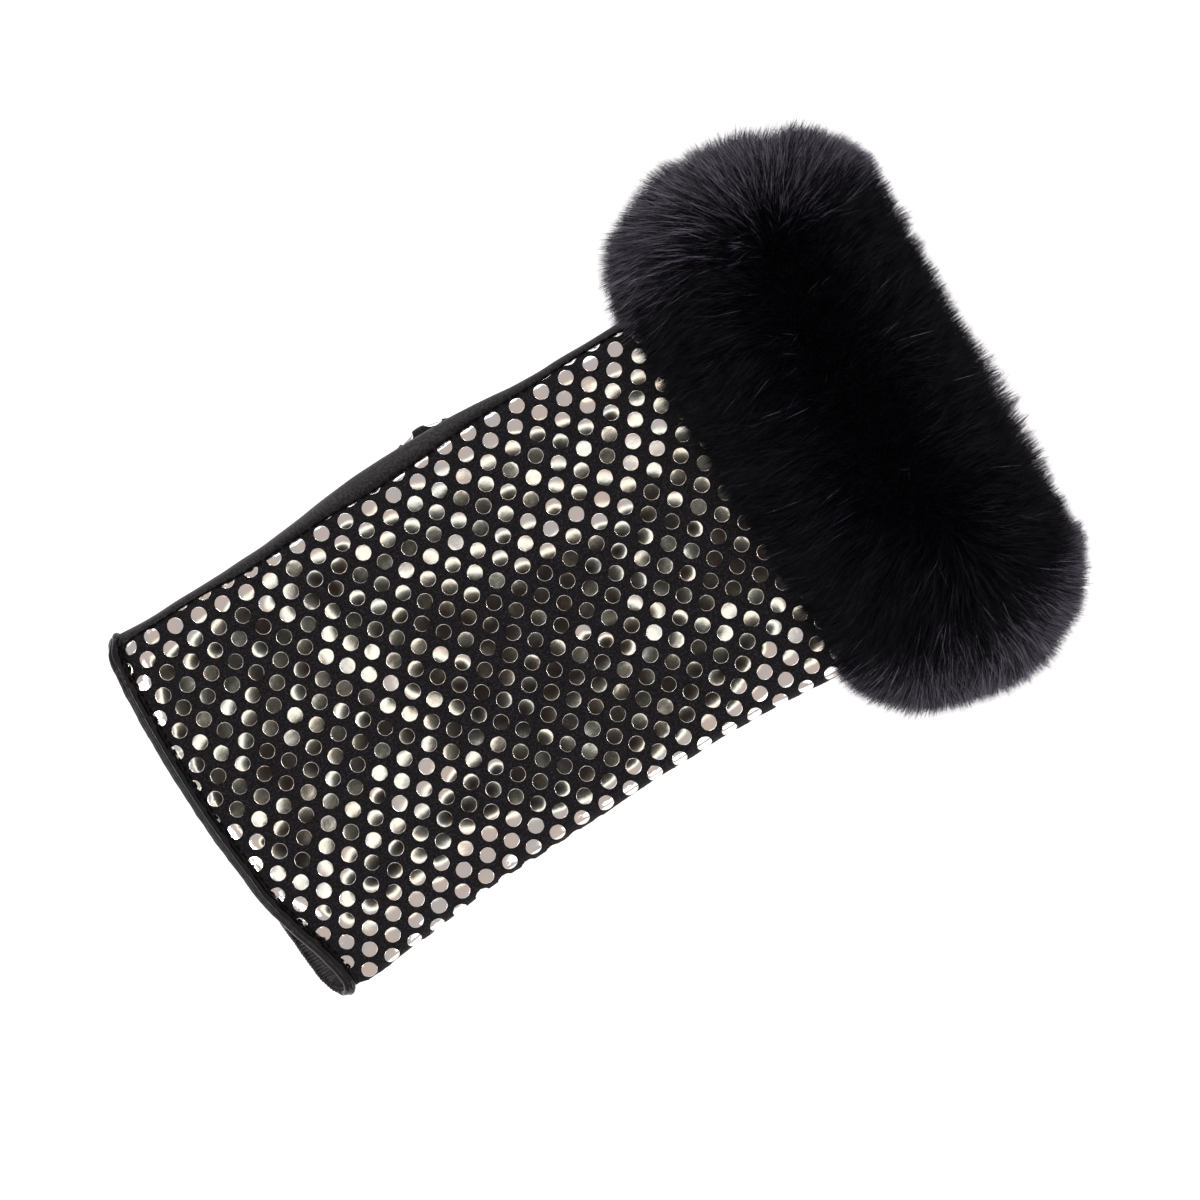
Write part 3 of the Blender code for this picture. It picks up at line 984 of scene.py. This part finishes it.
def make_underfur(material):
    """Dense wool under the hairs: a lumpy dome on the hollow wall round the sleeve."""
    around_count, columns, inner_count = 44, 260, 8
    turns = dome_turns(columns, side_pile / 2)
    around = np.linspace(0, math.pi, around_count)
    turn_grid, around_grid = np.meshgrid(turns, around, indexing="ij")
    column = np.arange(columns)
    lump = 0.8 * MM * smooth_noise(column[:, None] * 1.1 * MM, around_grid * dome_scale, 4 * MM, 61)
    lump *= np.minimum(1, np.minimum(column, columns - 1 - column) / 12)[:, None]
    side_on = np.abs(np.cos(turn_grid)) ** 3
    dome = fur_point(turn_grid, around_grid, 6.5 * MM + 2.5 * MM * side_on + lump * np.sin(around_grid))
    ends = np.linspace(1, 0, inner_count + 2)[1:-1]
    x = dome[:, :1, 0] * (1 - ends) + dome[:, -1:, 0] * ends
    inner = grown_point(x, turns[:, None], np.full(x.shape, fur_clearance))
    points = np.concatenate((dome, inner), axis=1)
    points[..., 2] = np.maximum(points[..., 2], 0.0)
    faces = grid_faces(columns, around_count + inner_count, True, True)
    item = new_object("underfur", points, (faces,), material)
    finish(item, "fur", "fur_cuff")
    return item


# How far the fur's outline is pulled in, in mm: a row for each way round from the middle of the back
# in mm, towards the little finger, and a column for each angle over the dome from the hand side
TRIM = (
    ("around", 0, 40, 65, 90, 120, 142, 180),
    (-150, 0.0, 0.0, 0.0, 0.0, 0.0, 0.0, 0.0),
    (-98, 0.0, -1.5, -1.0, 0.3, 3.0, 1.8, 0.5),
    (-72, 0.0, -1.5, -1.0, 0.3, 3.0, 1.8, 0.5),
    (-20, -1.5, -1.2, 0.0, 0.0, 0.0, 0.8, 1.0),
    (25, -1.2, -1.0, 0.0, 0.0, 0.8, 2.8, 4.3),
    (72, 0.6, 0.8, 0.8, 0.5, 2.7, 4.8, 5.8),
    (98, 1.0, 1.0, 0.8, 0.5, 2.5, 4.5, 5.5),
    (150, 0.0, 0.0, 0.0, 0.0, 0.0, 0.0, 0.0),
)


class Pile:
    """Places on the fur's dome: Q is the way round the cuff from the middle of the back."""

    def __init__(self):
        self.turn = np.linspace(-1.0, 2 * math.pi + 1.0, 6000)
        top, depth = (np.full(self.turn.shape, value) for value in (math.pi / 2, 6 * MM))
        crest = fur_point(self.turn, top, depth)
        travelled = arc_lengths(crest)
        self.q = travelled - np.interp(math.pi / 2, self.turn, travelled)
        self.start, self.end = np.interp((0, 2 * math.pi), self.turn, self.q)
        over = (self.turn > 0.4) & (self.turn < 2.7)
        line = np.array(PART_LINE)
        self.line_q = np.interp(-line[:, 1], -crest[over, 1], self.q[over])
        middle = wrist_x + fur_overhang - fur_length / 2
        self.line_around = np.arccos((middle - line[:, 0]) / (fur_length / 2))
        self.trim_q = np.array([row[0] for row in TRIM[1:]]) * MM
        self.trim_around = np.radians(TRIM[0][1:])
        self.trim = np.array([row[1:] for row in TRIM[1:]]) * MM

    def pulled_in(self, q, around):
        """How far the fur's outline stays inside its plain dome."""
        i = np.clip(np.searchsorted(self.trim_q, q) - 1, 0, len(self.trim_q) - 2)
        j = np.clip(np.searchsorted(self.trim_around, around) - 1, 0, len(self.trim_around) - 2)
        a = np.clip((q - self.trim_q[i]) / (self.trim_q[i + 1] - self.trim_q[i]), 0, 1)
        b = (around - self.trim_around[j]) / (self.trim_around[j + 1] - self.trim_around[j])
        return blend(self.trim, i, j, a * a * (3 - 2 * a), b * b * (3 - 2 * b))

    def place(self, q, around, shrink):
        """Points at a depth in the fur, over a place on its dome."""
        turn = np.interp(q, self.q, self.turn)
        around = np.clip(around, 0.0, math.pi)
        return fur_point(turn, around, shrink + self.pulled_in(q, around))

    def flow(self, q, around):
        """Way that hairs lie, as steps in Q and along the dome, and the distance from the part line."""
        line = np.interp(q, self.line_q, self.line_around) + 0.16 * smooth_noise(q, 0 * q, 11 * MM, 89)
        across = (around - line) * dome_scale
        beyond = q - np.clip(q, self.line_q[0], self.line_q[-1])
        beyond = beyond * (1 - 0.85 * fade(np.abs(beyond), 40 * MM, 85 * MM))
        distance = np.hypot(across, beyond)
        safe = np.maximum(distance, 1e-6)
        return beyond / safe, across / safe, distance


pile = Pile()


def make_hair(name, count, seed, material, width, depth, spread, ends_only=0.0):
    """Fine hairs that lie over, away from the part line, and stand out at the sides."""
    chance = np.random.default_rng(seed)
    q = chance.uniform(pile.start, pile.end, 4 * count)
    share = 0.42 + 0.58 * (1 - fade(np.abs(q), 95 * MM, 125 * MM))
    # Painted light: ends_only keeps a piece's pale hairs to the cuff's ends, where they stand in for
    # light from the sides.
    share = share * (1 - ends_only * (1 - fade(np.abs(q - 2 * MM), 44 * MM, 75 * MM)))
    q = q[chance.uniform(0, 1, 4 * count) < share][:count]
    count = len(q)
    around = chance.uniform(0.02, math.pi - 0.02, count)
    way_q, way_p, distance = pile.flow(q, around)
    here = around * dome_scale
    swirl = 0.60 * smooth_noise(q, here, 15 * MM, 81) + 0.35 * smooth_noise(q, here, 5 * MM, 82)
    swirl += chance.normal(0, 0.26, count)
    swirl = swirl + (1 - fade(distance, 0, 14 * MM)) * chance.normal(0, 1.2, count)
    cosine, sine = np.cos(swirl), np.sin(swirl)
    way_q, way_p = way_q * cosine - way_p * sine, way_q * sine + way_p * cosine
    root = pile.place(q, around, np.full(count, hair_root))
    away = pile.place(q, around, np.zeros(count)) - root
    upward = away[:, 2] / np.linalg.norm(away, axis=1)
    upright = 0.12 + 0.88 * fade(upward, 0.15, 0.85)
    lean = 12.0 * MM * (0.22 + 0.78 * fade(distance, 0.0, 24 * MM)) * upright
    lean = lean * chance.uniform(0.60, 1.25, count)
    side_on = 1 - fade(upward, 0.2, 0.8)
    tuft = (0.9 + 0.7 * side_on) * MM
    fine_q, fine_p = (smooth_noise(q, here, 2.6 * MM, noise_seed) for noise_seed in (83, 85))
    coarse_q, coarse_p = (smooth_noise(q, here, 5.5 * MM, noise_seed) for noise_seed in (84, 86))
    gather_q, gather_p = tuft * (fine_q + 0.9 * coarse_q), tuft * (fine_p + 0.9 * coarse_p)
    lump = (0.6 + 0.8 * side_on) * MM * smooth_noise(q, here, 5 * MM, 87)
    lump += 0.6 * MM * smooth_noise(q, here, 13 * MM, 88)
    tip_depth = depth + chance.normal(0, 1, count) * spread * (1 + 0.4 * side_on) + lump
    over_q, over_p = way_q * lean + gather_q, way_p * lean + gather_p
    middle_depth = 0.40 * hair_root + 0.60 * tip_depth
    middle = pile.place(q + 0.45 * over_q, (here + 0.45 * over_p) / dome_scale, middle_depth)
    tip = pile.place(q + over_q, (here + over_p) / dome_scale, tip_depth)
    lines = np.stack((root, middle, tip), axis=1)
    lines[..., 2] = np.maximum(lines[..., 2], 0.12 * MM)
    side = np.cross(tip - root, chance.normal(0, 1, (count, 3)))
    side /= np.maximum(np.linalg.norm(side, axis=1), 1e-9)[:, None]
    widths = width * np.array((0.8, 1.0))[None, :, None] * chance.uniform(0.7, 1.3, (count, 1, 1))
    left = lines[:, :2] + side[:, None] * widths / 2
    right = lines[:, :2] - side[:, None] * widths / 2
    points = np.concatenate((left, right, lines[:, 2:]), axis=1)
    start = (np.arange(count) * 5)[:, None]
    faces = (start + np.array((0, 2, 3, 1)), start + np.array((1, 3, 4)))
    item = new_object(name, points, faces, material)
    finish(item, "fur")
    return item


# Stage


def make_floor():
    """Pale, evenly lit table."""
    size = 14.0
    points = [(-size, -size, 0), (size, -size, 0), (size, size, 0), (-size, size, 0)]
    shader = Shader("table")
    shader.set(colour=(0.9, 0.9, 0.9, 1), rough=0.9, specular=0.0)
    shader.surface.inputs["Emission Color"].default_value = (1, 1, 1, 1)
    shader.surface.inputs["Emission Strength"].default_value = 0.85
    floor = new_object("table", points, (np.array(((0, 1, 2, 3),)),), shader.material)
    floor.location.z = -0.0001


def add_softbox(name, place, size, power, colour):
    """Area light that looks at the glove."""
    light = bpy.data.lights.new(name, "AREA")
    light.shape = "RECTANGLE"
    light.size, light.size_y = size
    light.energy = power
    light.color = colour
    item = bpy.data.objects.new(name, light)
    bpy.context.scene.collection.objects.link(item)
    item.location = place
    direction = np.array((0.0, 0.0, 0.01)) - np.array(place)
    flat = math.hypot(direction[0], direction[1])
    heading = math.atan2(direction[1], direction[0]) - math.pi / 2
    item.rotation_euler = (math.atan2(flat, -direction[2]), 0, heading)
    item.visible_camera = False
    return item


# Light of the studio by the angle from its darkest place overhead, as the sine of that angle
STUDIO = (
    (0.000, (0.011, 0.008, 0.007)),
    (0.055, (0.017, 0.013, 0.012)),
    (0.100, (0.036, 0.033, 0.029)),
    (0.140, (0.104, 0.099, 0.087)),
    (0.168, (0.950, 0.920, 0.850)),
    (0.188, (0.950, 0.920, 0.850)),
    (0.215, (0.380, 0.335, 0.330)),
    (0.550, (0.400, 0.355, 0.360)),
    (0.800, (0.530, 0.500, 0.530)),
    (1.000, (0.600, 0.580, 0.620)),
)


def make_studio():
    """Pale soft light all round, brightest in a ring round a dark patch of ceiling over the table."""
    world = bpy.data.worlds.new("studio")
    world.use_nodes = True
    nodes, links = world.node_tree.nodes, world.node_tree.links
    place = nodes.new("ShaderNodeTexCoord")
    stretch = nodes.new("ShaderNodeMapping")
    stretch.inputs["Location"].default_value = (0.072, 0.050, 0.0)
    stretch.inputs["Scale"].default_value = (0.46, 0.50, 0.0)
    angle = nodes.new("ShaderNodeVectorMath")
    angle.operation = "LENGTH"
    ramp = nodes.new("ShaderNodeValToRGB")
    links.new(place.outputs["Generated"], stretch.inputs["Vector"])
    links.new(stretch.outputs["Vector"], angle.inputs[0])
    links.new(angle.outputs["Value"], ramp.inputs["Fac"])
    links.new(ramp.outputs["Color"], nodes["Background"].inputs["Color"])
    nodes["Background"].inputs["Strength"].default_value = 1.6
    set_stops(ramp.color_ramp, STUDIO)
    bpy.context.scene.world = world


def make_lights():
    """Dim softboxes at both sides, and a strip beyond the fingers that shines on the rolled edge."""
    add_softbox("softbox_thumb", (0.3, 1.6, 0.8), (1.4, 0.7), 10.0, (0.93, 0.95, 1.0))
    add_softbox("softbox_pinky", (0.4, -1.6, 0.8), (1.4, 0.7), 10.0, (0.93, 0.95, 1.0))
    strip = add_softbox("strip_light", (-1.5, 0.1, 1.1), (0.9, 0.22), 9.0, (0.97, 0.98, 1.0))
    strip.visible_diffuse = False


def make_camera():
    """Camera straight above, turned so that the wrist points to the upper right."""
    view = bpy.data.cameras.new("camera")
    height, shown = 2.80, 0.2857
    view.lens = view.sensor_width * height / shown
    camera = bpy.data.objects.new("camera", view)
    bpy.context.scene.collection.objects.link(camera)
    camera.location = (-0.0006, -0.0051, height + 0.012)
    camera.rotation_euler = (0, 0, math.radians(-32))
    bpy.context.scene.camera = camera
    bpy.context.scene.view_settings.view_transform = "Standard"


suede, foil, leather = suede_material(), foil_material(), leather_material()
thread, rolled = thread_and_seam_shadow_material(), binding_material()
back = make_back(suede)
palm = make_palm(leather)
stall = make_stall(suede)
dots = make_dots(foil)
stall_dots = make_stall_dots(foil)
make_binding(rolled)
make_facing(painted_lit_facing_material())
make_thumb_stitches_and_shadow(thread)
make_hem_stitches(thread)
make_underfur(fur_material("underfur", (0.0007, 0.0007, 0.0013), (0.0016, 0.0016, 0.0027), 0.9, 0.05))
hair_dark = fur_material("hair_dark", (0.0014, 0.0016, 0.0031), (0.0048, 0.0050, 0.0090), 0.42, 0.10)
hair_middle = fur_material("hair_middle", (0.0036, 0.0036, 0.0064), (0.0155, 0.0152, 0.0250), 0.40, 0.19)
# Painted light: the next two furs are pale grey-blue hairs set only at the cuff's ends, standing in for
# light from the sides and through thin tips at the outline; the fur itself is near-black.
hair_painted_light = fur_material("hair_painted_light", (0.118, 0.110, 0.150), (0.295, 0.276, 0.362), 0.36, 0.5)
hair_fringe_painted_light = fur_material("hair_fringe_painted_light", (0.085, 0.080, 0.112), (0.210, 0.197, 0.265), 0.30, 0.5)
make_hair("hair_1", 45000, 70, hair_dark, 0.12 * MM, 0.8 * MM, 0.8 * MM)
make_hair("hair_2", 46000, 71, hair_dark, 0.12 * MM, 0.8 * MM, 0.8 * MM)
make_hair("hair_3", 40000, 72, hair_middle, 0.10 * MM, 0.8 * MM, 0.8 * MM)
make_hair("hair_4", 46000, 79, hair_painted_light, 0.10 * MM, 0.6 * MM, 1.1 * MM, 0.997)
make_hair("hair_5", 18000, 80, hair_fringe_painted_light, 0.045 * MM, -0.4 * MM, 1.2 * MM, 0.994)
make_floor()
make_studio()
make_lights()
make_camera()
